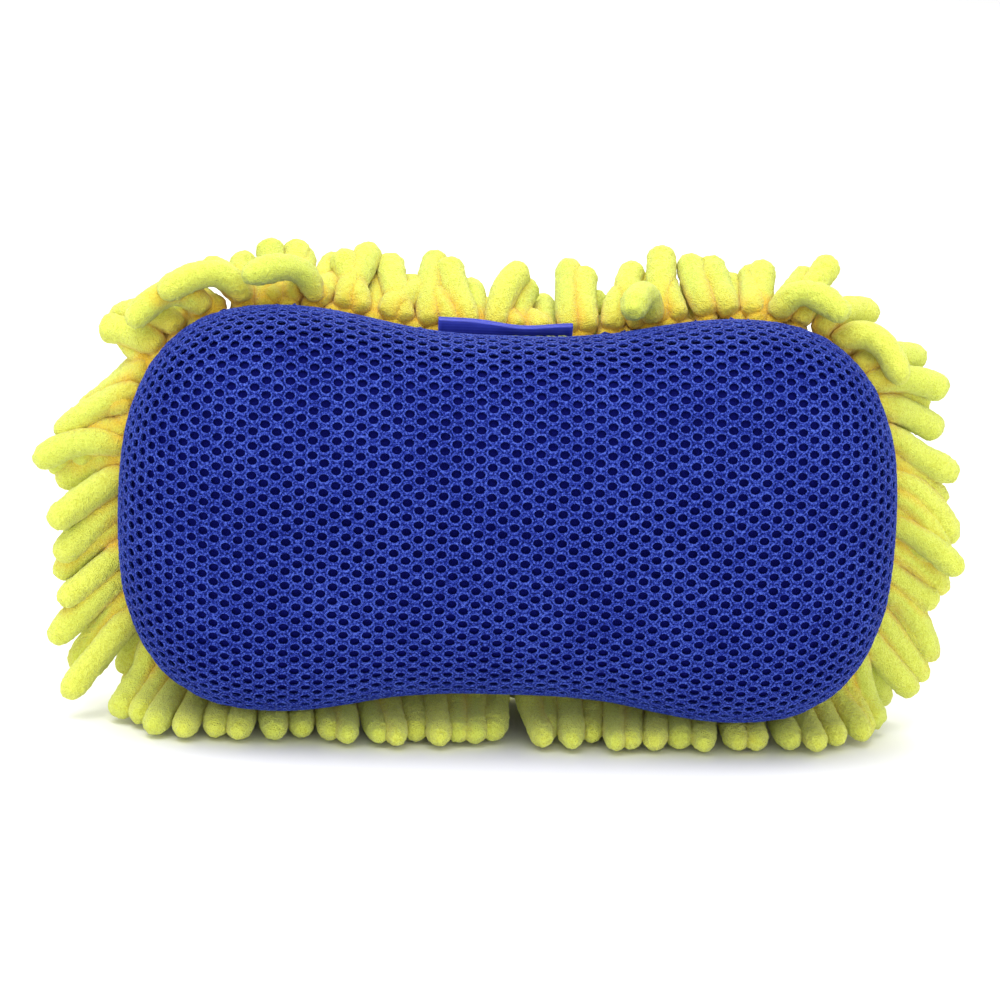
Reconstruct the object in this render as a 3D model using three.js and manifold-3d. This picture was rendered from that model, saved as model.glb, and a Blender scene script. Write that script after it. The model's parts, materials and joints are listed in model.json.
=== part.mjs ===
// A figure-eight wash pad: a foam block in an air-mesh cover, with a chenille pile panel sewn over its back.
// Millimetres, +Z up. The mesh face looks towards -Y, the pile towards +Y, and the long axis lies along X.
// The pad stands on its long lower edge, on the chenille fingers that fold under it.
import * as THREE from "three";
import { mergeVertices } from "three/addons/utils/BufferGeometryUtils.js";
import Module from "manifold-3d";

const wasm = await Module();
wasm.setup();

// The body's outline: two round lobes with a waist between them.
const bodyLength = 201;
const lobeHeight = 105;
const waistHeight = 93;
const lobeSpacing = 116; // between the crests of the lobes
const waistSharpness = 4; // how late the lines of the waist rise to the crests
const endFullness = 2.6; // exponent of the rounded ends: 2 is an ellipse, more is squarer
const standHeight = 8; // from the floor to the cover's lowest line

// The body's section, from the seam at y = 0 forwards.
const bodyDepth = 42; // from the seam to the rim of the front face
const frontCrown = 4; // bulge of the front face in front of its rim
const edgeRound = 20; // radius between side and front face
const seamPullIn = 3; // how far the sides draw in to meet the seam
const lastTurn = 78; // degrees of the round edge that the side sweeps before the front face begins
const turnStep = 26; // degrees between rings of the round edge
const frontShares = [0.66, 0.33]; // rings of the front face, as shares of its rim
const coverThickness = 3;
const backingThickness = 1.8;
const backingInset = 2.5; // of the backing's edge from the outline
const seamGap = 0.6; // between the cover's rim and the backing, where the thread runs
const threadDiameter = 0.8;
const clearance = 0.3;

// The pile.
const fingerDiameter = 7;
const fingerLength = 27;
const rootShare = 0.75; // a finger's width where it leaves its cord, as a share of its diameter
const bellyShare = 0.45; // where along a bent finger its full width is set
const shoulderRadius = 0.92; // a finger's width at its shoulder, as a share of its diameter
const shoulderShare = 0.9; // where along a finger its shoulder is
const cordDiameter = 3.2;
const cordGap = 0.5; // between the backing and the cord of a straight row
const edgePitch = 8.6; // along the seam
const coursePitch = 10; // along the second course
const rowFingerPitch = 10; // along a straight row
const rowCount = 6;
const rootSink = 0.426; // how much lower a cord lies than a round finger's leaning root would let it
const sideDroop = 0.5; // fall of the side fingers for each unit outwards
const edgeRootInset = 1; // of that cord from the outline
const courseInset = 12; // of the second course from the outline
const rowEndMargin = 24; // from the outline to the last finger of a straight row
const pressedShare = 0.66; // height of a finger's middle line above the floor it is pressed on, in radii
const cordOverhang = 0.2; // of a cord past its first and last finger, in pitches
const cornerShare = 0.14; // of the outline's length, from the waist to where the side fingers begin
const edgeLean = 8; // degrees back from the panel's plane, of the edge fingers
const edgeTopLean = 40; // degrees more, of those at the top
const courseLean = 52; // of the second course
const courseTopLean = 6; // more at the top
const courseUnderLean = 20; // less at the bottom
const flattestLean = THREE.MathUtils.degToRad(courseLean - courseUnderLean);
const rootReach = ((rootShare * fingerDiameter) / 2) * Math.cos(flattestLean); // of its root, towards the panel
const cordLift = rootReach - rootSink; // of a cord's middle line off the backing
const rootDepth = backingThickness + clearance + cordLift; // y of the second course's cord
const rowDepth = backingThickness + cordGap + cordDiameter / 2; // y of the cords of the straight rows
const edgeRootDepth = backingThickness + cordLift; // y of the cord that the seam catches
const rowRise = 4; // degrees above the horizontal, of the middle rows
const rowFan = 8; // degrees more at the highest row, and less at the lowest
const rowDrop = 9.1; // of the highest row below the second course
const narrowest = Math.min(waistHeight, lobeHeight);
const rowSpan = narrowest / 2 - courseInset - rowDrop; // of the highest row above the middle
const foldShare = 0.75; // of a finger's length that may run straight before it folds along the floor

// The label.
const labelWidth = 35;
const labelHeight = 6;
const labelPly = 0.5;
const labelThickness = 2;
const labelLean = 25; // degrees forwards
const labelOffset = -2; // of its middle from the pad's middle
const labelFootInset = 1.5; // of its foot from the outline's highest point over its width
const labelFootDepth = -0.8; // y of its foot

// Mesh density.
const waistSteps = 4; // of a quarter outline, over the waist
const endSteps = 6; // of a quarter outline, round the end
const fingerSides = 6;
const cordSides = 4;
const threadSides = 5;

const blueMesh = new THREE.MeshStandardMaterial({ color: 0x1a2f8f, roughness: 0.7 });
const blueRibbon = new THREE.MeshStandardMaterial({ color: 0x2230a8, roughness: 0.4 });
const yellowPile = new THREE.MeshStandardMaterial({ color: 0xe6f06a, roughness: 0.95 });
const yellowCloth = new THREE.MeshStandardMaterial({ color: 0xe0d040, roughness: 0.9 });
const foam = new THREE.MeshStandardMaterial({ color: 0xe8e4d0, roughness: 1 });
const thread = new THREE.MeshStandardMaterial({ color: 0x6f7a2a, roughness: 0.8 });

const middleHeight = standHeight + Math.max(lobeHeight, waistHeight) / 2;
const fingerRadius = fingerDiameter / 2;
const pressedHeight = fingerRadius * pressedShare;
const degrees = THREE.MathUtils.degToRad;

const pad = new THREE.Group();

function addMesh(name, geometry, material) {
  const mesh = new THREE.Mesh(geometry, material);
  mesh.name = name;
  pad.add(mesh);
  return mesh;
}

// ---- Solids -----------------------------------------------------------------------------------

// A closed three.js geometry as a manifold solid.
function toSolid(geometry) {
  const bare = geometry.clone();
  bare.deleteAttribute("normal");
  bare.deleteAttribute("uv");
  const merged = mergeVertices(bare, 1e-4);
  const mesh = new wasm.Mesh({
    numProp: 3,
    vertProperties: new Float32Array(merged.attributes.position.array),
    triVerts: new Uint32Array(merged.index.array),
  });
  return new wasm.Manifold(mesh);
}

function toGeometry(solid) {
  const mesh = solid.getMesh();
  const geometry = new THREE.BufferGeometry();
  geometry.setAttribute("position", new THREE.BufferAttribute(mesh.vertProperties, 3));
  geometry.setIndex(new THREE.BufferAttribute(mesh.triVerts, 1));
  geometry.computeVertexNormals();
  return geometry;
}

// A closed skin through rings that have equal numbers of points, closed by a fan at each end.
function loft(rings, firstPole, lastPole) {
  const around = rings[0].length;
  const points = [firstPole, ...rings.flat(), lastPole];
  const last = points.length - 1;
  const at = (ring, k) => 1 + ring * around + (k % around);
  const faces = [];
  for (let k = 0; k < around; k += 1) {
    faces.push(0, at(0, k + 1), at(0, k));
    faces.push(last, at(rings.length - 1, k), at(rings.length - 1, k + 1));
    for (let ring = 0; ring + 1 < rings.length; ring += 1) {
      faces.push(at(ring, k), at(ring, k + 1), at(ring + 1, k));
      faces.push(at(ring, k + 1), at(ring + 1, k + 1), at(ring + 1, k));
    }
  }
  const geometry = new THREE.BufferGeometry().setFromPoints(points);
  geometry.setIndex(faces);
  geometry.computeVertexNormals();
  return geometry;
}

// ---- The figure-eight outline -----------------------------------------------------------------

// One quarter of the outline, from the waist to the end, drawn in from the full outline by inset.
function quarterOutline(inset) {
  const crest = lobeSpacing / 2;
  const halfLobe = lobeHeight / 2 - inset;
  const halfWaist = waistHeight / 2 - inset;
  const endReach = bodyLength / 2 - inset - crest;
  const points = [];
  for (let k = 0; k < waistSteps; k += 1) {
    const rise = Math.sin((Math.PI / 2) * (k / waistSteps)) ** waistSharpness;
    points.push([(crest * k) / waistSteps, halfWaist + (halfLobe - halfWaist) * rise]);
  }
  for (let k = 0; k <= endSteps; k += 1) {
    const turn = (Math.PI / 2) * (k / endSteps);
    const across = endReach * Math.sin(turn) ** (2 / endFullness);
    const up = halfLobe * Math.max(0, Math.cos(turn)) ** (2 / endFullness);
    points.push([crest + across, k === endSteps ? 0 : up]);
  }
  return points;
}

// The outline's height above its middle at x, between the crests.
function outlineTop(x) {
  const points = quarterOutline(0);
  const after = points.findIndex(([across]) => across > x);
  const [[x0, z0], [x1, z1]] = points.slice(after - 1, after + 1);
  return z0 + ((z1 - z0) * (x - x0)) / (x1 - x0);
}

// The whole outline, from the waist's top towards +X and round, at depth y.
function outline(inset, y) {
  const quarter = quarterOutline(inset);
  const right = [...quarter, ...quarter.slice(0, -1).reverse().map(([x, z]) => [x, -z])];
  const left = right.slice(1, -1).reverse().map(([x, z]) => [-x, z]);
  return [...right, ...left].map(([x, z]) => new THREE.Vector3(x, y, middleHeight + z));
}

function scaledRing(ring, share, y) {
  return ring.map((p) => new THREE.Vector3(p.x * share, y, middleHeight + (p.z - middleHeight) * share));
}

// ---- Cover, foam and backing ------------------------------------------------------------------

// The rings of a domed skin that lies under the cover's outer face by the given thickness, seam first.
function domeRings(under, seamDepth) {
  const flankDepth = bodyDepth - edgeRound;
  const round = edgeRound - under;
  const rings = [outline(seamPullIn + under, -seamDepth), outline(under + seamPullIn / 4, -flankDepth / 4)];
  rings.push(outline(under, -flankDepth / 2));
  for (let turn = 0; turn <= lastTurn; turn += turnStep) {
    const inset = under + round * (1 - Math.cos(degrees(turn)));
    rings.push(outline(inset, -flankDepth - round * Math.sin(degrees(turn))));
  }
  const rim = rings[rings.length - 1];
  for (const share of frontShares) {
    rings.push(scaledRing(rim, share, frontDepth(under, share)));
  }
  return rings;
}

// y of the crowned front face, from its rim (share 1) to its middle (share 0).
function frontDepth(under, share) {
  return under - bodyDepth - frontCrown * (1 - share * share);
}

function polePoint(y) {
  return new THREE.Vector3(0, y, middleHeight);
}

function buildCover() {
  const outer = domeRings(0, seamGap).reverse();
  const inner = domeRings(coverThickness, seamGap);
  const rings = [...outer, ...inner];
  return loft(rings, polePoint(frontDepth(0, 0)), polePoint(frontDepth(coverThickness, 0)));
}

function buildFoam() {
  const under = coverThickness + clearance;
  const rings = domeRings(under, seamGap).reverse();
  return loft(rings, polePoint(frontDepth(under, 0)), polePoint(-seamGap));
}

function buildBacking() {
  const front = outline(backingInset, 0);
  const back = outline(backingInset, backingThickness);
  return loft([front, back], polePoint(0), polePoint(backingThickness));
}

// A round bar of the given diameter along a curve.
function bar(curve, diameter, steps) {
  const corners = [];
  for (let k = 0; k < cordSides; k += 1) {
    const turn = (2 * Math.PI * k) / cordSides;
    corners.push(new THREE.Vector2(Math.cos(turn) * (diameter / 2), Math.sin(turn) * (diameter / 2)));
  }
  const section = new THREE.Shape(corners);
  return new THREE.ExtrudeGeometry(section, { steps, extrudePath: curve, bevelEnabled: false });
}

function buildSeamThread() {
  const inset = backingInset - clearance - threadDiameter / 2;
  const points = outline(inset, -seamGap / 2);
  const radius = threadDiameter / 2;
  const rings = points.map((p, k) => {
    const before = points[(k + points.length - 1) % points.length];
    const after = points[(k + 1) % points.length];
    const along = new THREE.Vector3().subVectors(after, before).normalize();
    const outward = new THREE.Vector3(-along.z, 0, along.x);
    return Array.from({ length: threadSides }, (_, side) => {
      const turn = (2 * Math.PI * side) / threadSides;
      const corner = p.clone().addScaledVector(outward, radius * Math.cos(turn));
      corner.y += radius * Math.sin(turn);
      return corner;
    });
  });
  return closedLoop(rings);
}

// A ring-shaped skin through sections, the last joined to the first.
function closedLoop(rings) {
  const around = rings[0].length;
  const at = (ring, k) => (ring % rings.length) * around + (k % around);
  const faces = [];
  for (let ring = 0; ring < rings.length; ring += 1) {
    for (let k = 0; k < around; k += 1) {
      faces.push(at(ring, k), at(ring + 1, k), at(ring, k + 1));
      faces.push(at(ring, k + 1), at(ring + 1, k), at(ring + 1, k + 1));
    }
  }
  const geometry = new THREE.BufferGeometry().setFromPoints(rings.flat());
  geometry.setIndex(faces);
  geometry.computeVertexNormals();
  return geometry;
}

// ---- Label --------------------------------------------------------------------------------------

// The ribbon folded double: two plies that hang from a round fold, open at the foot.
function buildLabel() {
  const half = labelThickness / 2;
  const hollow = half - labelPly;
  const foldHeight = labelHeight - half;
  const section = new THREE.Shape();
  section.moveTo(-half, 0);
  section.lineTo(-hollow, 0);
  section.lineTo(-hollow, foldHeight);
  section.absarc(0, foldHeight, hollow, Math.PI, 0, true);
  section.lineTo(hollow, 0);
  section.lineTo(half, 0);
  section.lineTo(half, foldHeight);
  section.absarc(0, foldHeight, half, 0, Math.PI, false);
  section.closePath();
  const geometry = new THREE.ExtrudeGeometry(section, {
    depth: labelWidth,
    bevelEnabled: false,
    curveSegments: 5,
  });
  const turned = new THREE.Matrix4().makeBasis(
    new THREE.Vector3(0, 1, 0),
    new THREE.Vector3(0, 0, 1),
    new THREE.Vector3(1, 0, 0)
  );
  geometry.applyMatrix4(turned);
  geometry.translate(-labelWidth / 2, 0, 0);
  return geometry;
}

// ---- Chenille fingers ---------------------------------------------------------------------------

// A blunt finger turned on a lathe and bent along a curve, root first. A straight one needs no waistline.
function finger(curve) {
  const bowed = curve.v1.distanceTo(curve.v0.clone().lerp(curve.v2, 0.5)) > clearance;
  const belly = bowed ? [[1, bellyShare]] : [];
  const sides = [[0, 0], [rootShare, 0], ...belly, [shoulderRadius, shoulderShare], [0, 1]];
  const profile = sides.map(([radius, along]) => new THREE.Vector2(radius * fingerRadius, along));
  const geometry = new THREE.LatheGeometry(profile, fingerSides);
  const position = geometry.attributes.position;
  const sideways = new THREE.Vector3(1, 0, 0);
  const backwards = new THREE.Vector3(0, 1, 0);
  for (let k = 0; k < position.count; k += 1) {
    const share = THREE.MathUtils.clamp(position.getY(k), 0, 1);
    const centre = curve.getPointAt(share);
    const along = curve.getTangentAt(share);
    const reference = Math.abs(along.x) > Math.abs(along.y) ? backwards : sideways;
    const across = new THREE.Vector3().crossVectors(along, reference).normalize();
    const third = new THREE.Vector3().crossVectors(across, along);
    centre.addScaledVector(across, position.getX(k)).addScaledVector(third, position.getZ(k));
    position.setXYZ(k, centre.x, centre.y, centre.z);
  }
  return geometry;
}

// The curve of a finger that leaves root in a direction and, where it would meet the floor, folds along it.
// fold is -1 to fold forwards, under the pad, and +1 to fold backwards.
function fingerCurve(root, direction, fold) {
  const tip = root.clone().addScaledVector(direction, fingerLength);
  const bend = root.clone().addScaledVector(direction, fingerLength / 2);
  if (tip.z < pressedHeight) {
    const drop = root.z - pressedHeight;
    const outward = direction.x * fingerLength;
    const along = Math.sqrt(Math.max(0, fingerLength ** 2 - drop ** 2 - outward ** 2));
    const straight = Math.min(drop / -direction.z, foldShare * fingerLength);
    tip.set(root.x + outward, root.y + fold * along, pressedHeight);
    bend.copy(root).addScaledVector(direction, straight);
  }
  return new THREE.QuadraticBezierCurve3(root, bend, tip);
}

function joinAll(geometries) {
  const solids = geometries.map(toSolid);
  return solids.reduce((whole, next) => whole.add(next));
}

// Everything under the floor, to flatten what is pressed on it.
function underFloor() {
  const side = 2 * (bodyLength + lobeHeight);
  const block = new THREE.BoxGeometry(side, side, side);
  block.translate(0, 0, -side / 2);
  return toSolid(block);
}
const floorBlock = underFloor();

// A course of fingers that follows the outline from one share of its length to another.
// tilt gives, from a finger's outward direction, its lean away from the plane of the panel in degrees.
function outlineCourse({ inset, depth, from, to, pitch, tilt, fold }) {
  const path = new THREE.CatmullRomCurve3(outline(inset, depth), true, "centripetal");
  const share = (value) => ((value % 1) + 1) % 1;
  const count = Math.max(2, Math.round(((to - from) * path.getLength()) / pitch));
  const step = (to - from) / count;
  const pieces = [];
  for (let k = 0; k < count; k += 1) {
    const at = share(from + (k + 0.5) * step);
    const root = path.getPointAt(at);
    const along = path.getTangentAt(at);
    const outward = new THREE.Vector3(-along.z, 0, along.x).normalize();
    const lean = degrees(tilt(outward));
    outward.z -= sideDroop * Math.abs(outward.x);
    const direction = outward.setLength(Math.cos(lean)).add(new THREE.Vector3(0, Math.sin(lean), 0));
    pieces.push(finger(fingerCurve(root, direction, fold)));
  }
  const stops = Array.from({ length: count + 1 }, (_, k) => {
    const along = 0.5 - cordOverhang + (k / count) * (count - 1 + 2 * cordOverhang);
    return path.getPointAt(share(from + along * step));
  });
  const cord = bar(new THREE.CatmullRomCurve3(stops), cordDiameter, count);
  return toGeometry(joinAll([cord, ...pieces]).subtract(floorBlock));
}

// A straight row across the panel at a height above its middle.
function straightRow(height) {
  const halfLobe = lobeHeight / 2;
  const crest = lobeSpacing / 2;
  const endReach = bodyLength / 2 - crest;
  const reachShare = (1 - Math.abs(height / halfLobe) ** endFullness) ** (1 / endFullness);
  const halfSpan = crest + endReach * reachShare - rowEndMargin;
  const gaps = Math.round((2 * halfSpan) / rowFingerPitch);
  const z = middleHeight + height;
  const rise = degrees(rowRise + (rowFan * height) / rowSpan);
  const pieces = [];
  for (let k = 0; k <= gaps; k += 1) {
    const root = new THREE.Vector3(-halfSpan + (2 * halfSpan * k) / gaps, rowDepth, z);
    pieces.push(finger(fingerCurve(root, new THREE.Vector3(0, Math.cos(rise), Math.sin(rise)), 1)));
  }
  const cord = new THREE.CylinderGeometry(cordDiameter / 2, cordDiameter / 2, 2 * halfSpan, cordSides);
  cord.rotateZ(Math.PI / 2);
  cord.translate(0, rowDepth, z);
  return toGeometry(joinAll([cord, ...pieces]));
}

// ---- The pad ------------------------------------------------------------------------------------

// The lean of the edge fingers and of the second course, in degrees, from the way that they point outwards.
const edgeTilt = (outward) => edgeLean + edgeTopLean * Math.max(0, outward.z);
const courseTilt = (outward) => {
  return courseLean + courseTopLean * Math.max(0, outward.z) + courseUnderLean * Math.min(0, outward.z);
};

addMesh("foam_core", buildFoam(), foam);
addMesh("mesh_cover", buildCover(), blueMesh);
addMesh("chenille_backing", buildBacking(), yellowCloth);
addMesh("seam_thread", buildSeamThread(), thread);

const label = addMesh("ribbon_label", buildLabel(), blueRibbon);
label.rotation.x = degrees(labelLean);
const labelReach = Math.abs(labelOffset) + labelWidth / 2;
const labelFoot = Math.max(outlineTop(0), outlineTop(labelReach)) - labelFootInset;
label.position.set(labelOffset, labelFootDepth, middleHeight + labelFoot);

const edgeSpans = {
  edge_row_top: [-cornerShare, cornerShare],
  edge_row_right: [cornerShare, 0.5 - cornerShare],
  edge_row_bottom: [0.5 - cornerShare, 0.5 + cornerShare],
  edge_row_left: [0.5 + cornerShare, 1 - cornerShare],
};
for (const [name, [from, to]] of Object.entries(edgeSpans)) {
  const course = { inset: edgeRootInset, depth: edgeRootDepth, pitch: edgePitch, tilt: edgeTilt, fold: -1 };
  addMesh(name, outlineCourse({ ...course, from, to }), yellowPile);
}

const secondCourse = { inset: courseInset, depth: rootDepth, pitch: coursePitch, tilt: courseTilt, fold: 1 };
addMesh("upper_row", outlineCourse({ ...secondCourse, from: -0.25, to: 0.25 }), yellowPile);
addMesh("lower_row", outlineCourse({ ...secondCourse, from: 0.25, to: 0.75 }), yellowPile);

for (let k = 0; k < rowCount; k += 1) {
  const height = rowSpan * ((2 * k) / (rowCount - 1) - 1);
  addMesh("pile_row_" + String(k + 1).padStart(2, "0"), straightRow(height), yellowPile);
}

// The origin is the middle of the pad's footprint, on the floor.
pad.updateMatrixWorld(true);
const extent = new THREE.Box3().setFromObject(pad, true);
pad.position.y = -(extent.min.y + extent.max.y) / 2;

export default pad;
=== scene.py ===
"""The looks of a figure-eight wash pad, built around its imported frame.

The pad is a foam core in a spacer-mesh cover, closed at the back by a cloth panel with chenille
fingers. Metres, +Z up. The mesh face looks towards -Y, the pile towards +Y, and the long axis lies
along X.
"""

import sys
import json
import logging
import math
from collections.abc import Callable
from dataclasses import dataclass, field
from enum import Enum

import bpy
import numpy as np
from mathutils import Matrix, Vector
from mathutils.bvhtree import BVHTree
from mathutils.kdtree import KDTree

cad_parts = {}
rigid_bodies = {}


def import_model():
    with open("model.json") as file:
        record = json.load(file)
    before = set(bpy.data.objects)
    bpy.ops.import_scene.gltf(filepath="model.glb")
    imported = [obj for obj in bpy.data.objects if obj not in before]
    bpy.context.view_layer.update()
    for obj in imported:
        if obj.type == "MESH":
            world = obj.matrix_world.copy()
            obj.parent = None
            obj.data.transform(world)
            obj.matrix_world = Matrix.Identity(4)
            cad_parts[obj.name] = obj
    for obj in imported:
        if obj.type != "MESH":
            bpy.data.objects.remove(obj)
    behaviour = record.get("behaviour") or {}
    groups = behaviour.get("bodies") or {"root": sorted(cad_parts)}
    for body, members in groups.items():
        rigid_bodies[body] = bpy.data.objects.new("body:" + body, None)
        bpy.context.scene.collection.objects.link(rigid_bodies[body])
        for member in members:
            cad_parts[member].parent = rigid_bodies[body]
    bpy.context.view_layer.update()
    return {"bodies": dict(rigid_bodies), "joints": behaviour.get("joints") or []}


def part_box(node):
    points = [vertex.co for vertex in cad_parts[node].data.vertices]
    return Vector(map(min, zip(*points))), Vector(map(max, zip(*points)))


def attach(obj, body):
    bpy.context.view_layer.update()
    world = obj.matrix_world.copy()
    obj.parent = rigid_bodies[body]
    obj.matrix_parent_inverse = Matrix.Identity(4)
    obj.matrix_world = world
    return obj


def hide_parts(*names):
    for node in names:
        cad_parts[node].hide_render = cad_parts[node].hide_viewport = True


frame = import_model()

MM = 0.001
LOG = logging.getLogger("wash_pad")
HALF_BAND = 0.157  # metres from a light band's middle to a dark one's in a Wave Texture of scale 1
TINY = 1e-9
Value = "Tap | float | tuple[float, ...]"


class Slot(Enum):
    """The record's material slots."""

    AIR_MESH = "air_mesh"
    RIBBON = "ribbon"
    CHENILLE = "chenille"
    BASE_CLOTH = "base_cloth"
    THREAD = "thread"
    FOAM = "foam"


class Side(Enum):
    """The four runs of the outline, by the shares of its length at which each begins and ends."""

    TOP = (-0.14, 0.14)
    RIGHT = (0.14, 0.36)
    BOTTOM = (0.36, 0.64)
    LEFT = (0.64, 0.86)

    def holds(self, share: float) -> bool:
        """Whether a share of the outline's length lies in this run."""
        start, end = self.value
        return start <= share < end or start <= share - 1.0 < end


# ---- Shader tools -------------------------------------------------------------------------------


@dataclass(frozen=True)
class Tap:
    """A shader socket whose arithmetic adds Math nodes."""

    shader: "Shader"
    socket: bpy.types.NodeSocket

    def _math(self, operation: str, first: Value, second: Value) -> "Tap":
        """Adds one Math node.

        Args:
            operation: The node's operation.
            first: Its first value or link.
            second: Its second value or link.

        Returns:
            The node's result.
        """
        return self.shader.add("ShaderNodeMath", {"operation": operation}, {0: first, 1: second})

    def __add__(self, other: Value) -> "Tap":
        """self + other."""
        return self._math("ADD", self, other)

    __radd__ = __add__

    def __sub__(self, other: Value) -> "Tap":
        """self - other."""
        return self._math("SUBTRACT", self, other)

    def __rsub__(self, other: Value) -> "Tap":
        """other - self."""
        return self._math("SUBTRACT", other, self)

    def __mul__(self, other: Value) -> "Tap":
        """self * other."""
        return self._math("MULTIPLY", self, other)

    __rmul__ = __mul__


class Shader:
    """One material's node tree, with a Principled surface."""

    def __init__(self, tree: bpy.types.NodeTree) -> None:
        """Clears the tree and puts in its surface and output.

        Args:
            tree: The material's node tree.
        """
        self.tree = tree
        tree.nodes.clear()
        self.surface = tree.nodes.new("ShaderNodeBsdfPrincipled")
        output = tree.nodes.new("ShaderNodeOutputMaterial")
        tree.links.new(self.surface.outputs["BSDF"], output.inputs["Surface"])
        self.place = self.add("ShaderNodeTexCoord", {}, {}, "Object")

    def add(self, kind: str, settings: dict, inputs: dict, output: int | str = 0) -> Tap:
        """Adds any node.

        Args:
            kind: The node's type.
            settings: What is set on the node first; "stops" are a ramp's (position, colour) pairs.
            inputs: Values or links by socket name or number.
            output: The socket to hand back.

        Returns:
            That output socket.
        """
        node = self.tree.nodes.new(kind)
        for name, value in settings.items():
            if name == "stops":
                self._set_stops(node.color_ramp, value)
            else:
                setattr(node, name, value)
        for name, value in inputs.items():
            self.feed(node.inputs[name], value)
        return Tap(self, node.outputs[output])

    def _set_stops(self, ramp: bpy.types.ColorRamp, stops: list) -> None:
        """Gives a ramp its stops.

        Args:
            ramp: The colour ramp.
            stops: Pairs of a position and a linear colour.
        """
        while len(ramp.elements) < len(stops):
            ramp.elements.new(1.0)
        for element, (position, colour) in zip(ramp.elements, stops):
            element.position = position
            element.color = (*colour, 1.0)

    def feed(self, socket: bpy.types.NodeSocket, value: Value) -> None:
        """Links or sets one input socket.

        Args:
            socket: The input.
            value: A link, a number or a colour.
        """
        if isinstance(value, Tap):
            self.tree.links.new(value.socket, socket)
        elif socket.type == "RGBA" and not isinstance(value, float):
            socket.default_value = (*value, 1.0)
        else:
            socket.default_value = value

    def noise(self, grain: float, detail: float = 2.0) -> Tap:
        """Noise on the piece's own coordinates.

        Args:
            grain: The size of its features in metres.
            detail: Its octaves.

        Returns:
            Its value, from 0 to 1.
        """
        inputs = {"Vector": self.place, "Scale": 1.0 / grain, "Detail": detail, "Roughness": 0.6}
        return self.add("ShaderNodeTexNoise", {}, inputs, 0)

    def wave(self, band: float, direction: str, distortion: float) -> Tap:
        """Straight bands on the piece's own coordinates.

        Args:
            band: The width of a light or dark band in metres.
            direction: The axis across them.
            distortion: How far they waver.

        Returns:
            Their value, from 0 to 1.
        """
        inputs = {"Vector": self.place, "Scale": HALF_BAND / band, "Detail": 1.0}
        inputs["Distortion"] = distortion
        return self.add("ShaderNodeTexWave", {"bands_direction": direction}, inputs, 1)

    def attribute(self, name: str) -> Tap:
        """A number that the mesh holds at each point."""
        settings = {"attribute_type": "GEOMETRY", "attribute_name": name}
        return self.add("ShaderNodeAttribute", settings, {}, "Fac")

    def ramp(self, value: Tap, stops: list) -> Tap:
        """The colour that a ramp gives for a value."""
        return self.add("ShaderNodeValToRGB", {"stops": stops}, {0: value}, 0)

    def mix(self, factor: Value, first: Value, second: Value) -> Tap:
        """A mix of two colours."""
        inputs = {0: factor, 6: first, 7: second}
        return self.add("ShaderNodeMix", {"data_type": "RGBA", "clamp_factor": True}, inputs, 2)

    def limit(self, value: Tap) -> Tap:
        """A value kept between 0 and 1."""
        return self.add("ShaderNodeClamp", {}, {0: value}, 0)

    def finish(self, colour: Value, roughness: Value, height: Value, depth: float) -> None:
        """Joins colour, roughness and relief to the surface.

        Args:
            colour: The base colour.
            roughness: The roughness.
            height: The relief, from 0 to 1.
            depth: How deep the relief is in metres.
        """
        relief = {"Height": height, "Distance": depth, "Strength": 1.0}
        bump = self.add("ShaderNodeBump", {}, relief)
        for name, value in {"Base Color": colour, "Roughness": roughness, "Normal": bump}.items():
            self.feed(self.surface.inputs[name], value)


@dataclass(frozen=True)
class Finish:
    """A procedural finish. Each kind paints its own colour and relief."""

    name: str
    sheen: float = 0.0
    sheen_roughness: float = 0.45
    specular: float = 0.5

    def material(self) -> bpy.types.Material:
        """The finish as a material."""
        made = bpy.data.materials.new(self.name)
        made.use_nodes = True
        shader = Shader(made.node_tree)
        shader.surface.inputs["Sheen Weight"].default_value = self.sheen
        shader.surface.inputs["Sheen Roughness"].default_value = self.sheen_roughness
        shader.surface.inputs["Specular IOR Level"].default_value = self.specular
        self.paint(shader)
        return made

    def paint(self, shader: Shader) -> None:
        """Paints colour, roughness and relief.

        Args:
            shader: The material's node tree, as for every kind of finish below.
        """
        raise NotImplementedError


@dataclass(frozen=True)
class KnitFinish(Finish):
    """The spacer mesh's knitted face: a painted highlight on the ridges round each hole, speckled
    lands between.
    """

    yarn: float = 0.5 * MM
    deep: tuple = (0.001, 0.004, 0.06)
    mid: tuple = (0.0035, 0.013, 0.20)
    bright: tuple = (0.064, 0.112, 0.50)

    def paint(self, shader: Shader) -> None:
        """Paints a highlight on the ridge tops and breaks the lands up into loops of yarn.

        Args:
            shader: The material's node tree.
        """
        ridge = shader.attribute("ridge")
        loops = shader.noise(self.yarn, 1.0)
        cloud = shader.noise(24 * MM, 2.0)
        # crest is a painted highlight on the raised ridge tops; it also lowers their roughness.
        crest = ridge * ridge
        tone = crest * 0.2 + (loops - 0.5) * 1.9 + (cloud - 0.5) * 0.25 + 0.46
        colour = shader.ramp(tone, [(0.05, self.deep), (0.45, self.mid), (1.0, self.bright)])
        shader.finish(colour, 0.8 - crest * 0.2, ridge * 0.2 + loops * 0.8, 0.3 * MM)


@dataclass(frozen=True)
class LiningFinish(Finish):
    """The dark inner layer that shows through the holes."""

    yarn: float = 0.6 * MM
    dark: tuple = (0.0006, 0.001, 0.045)
    light: tuple = (0.002, 0.004, 0.12)

    def paint(self, shader: Shader) -> None:
        """A fine, dull knit.

        Args:
            shader: The material's node tree.
        """
        loops = shader.noise(self.yarn, 2.0)
        fibres = shader.noise(3 * self.yarn, 3.0)
        tone = loops * 0.6 + fibres * 0.4
        colour = shader.ramp(tone, [(0.3, self.dark), (0.7, self.light)])
        shader.finish(colour, 0.85 - loops * 0.1, tone, 0.3 * MM)


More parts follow.
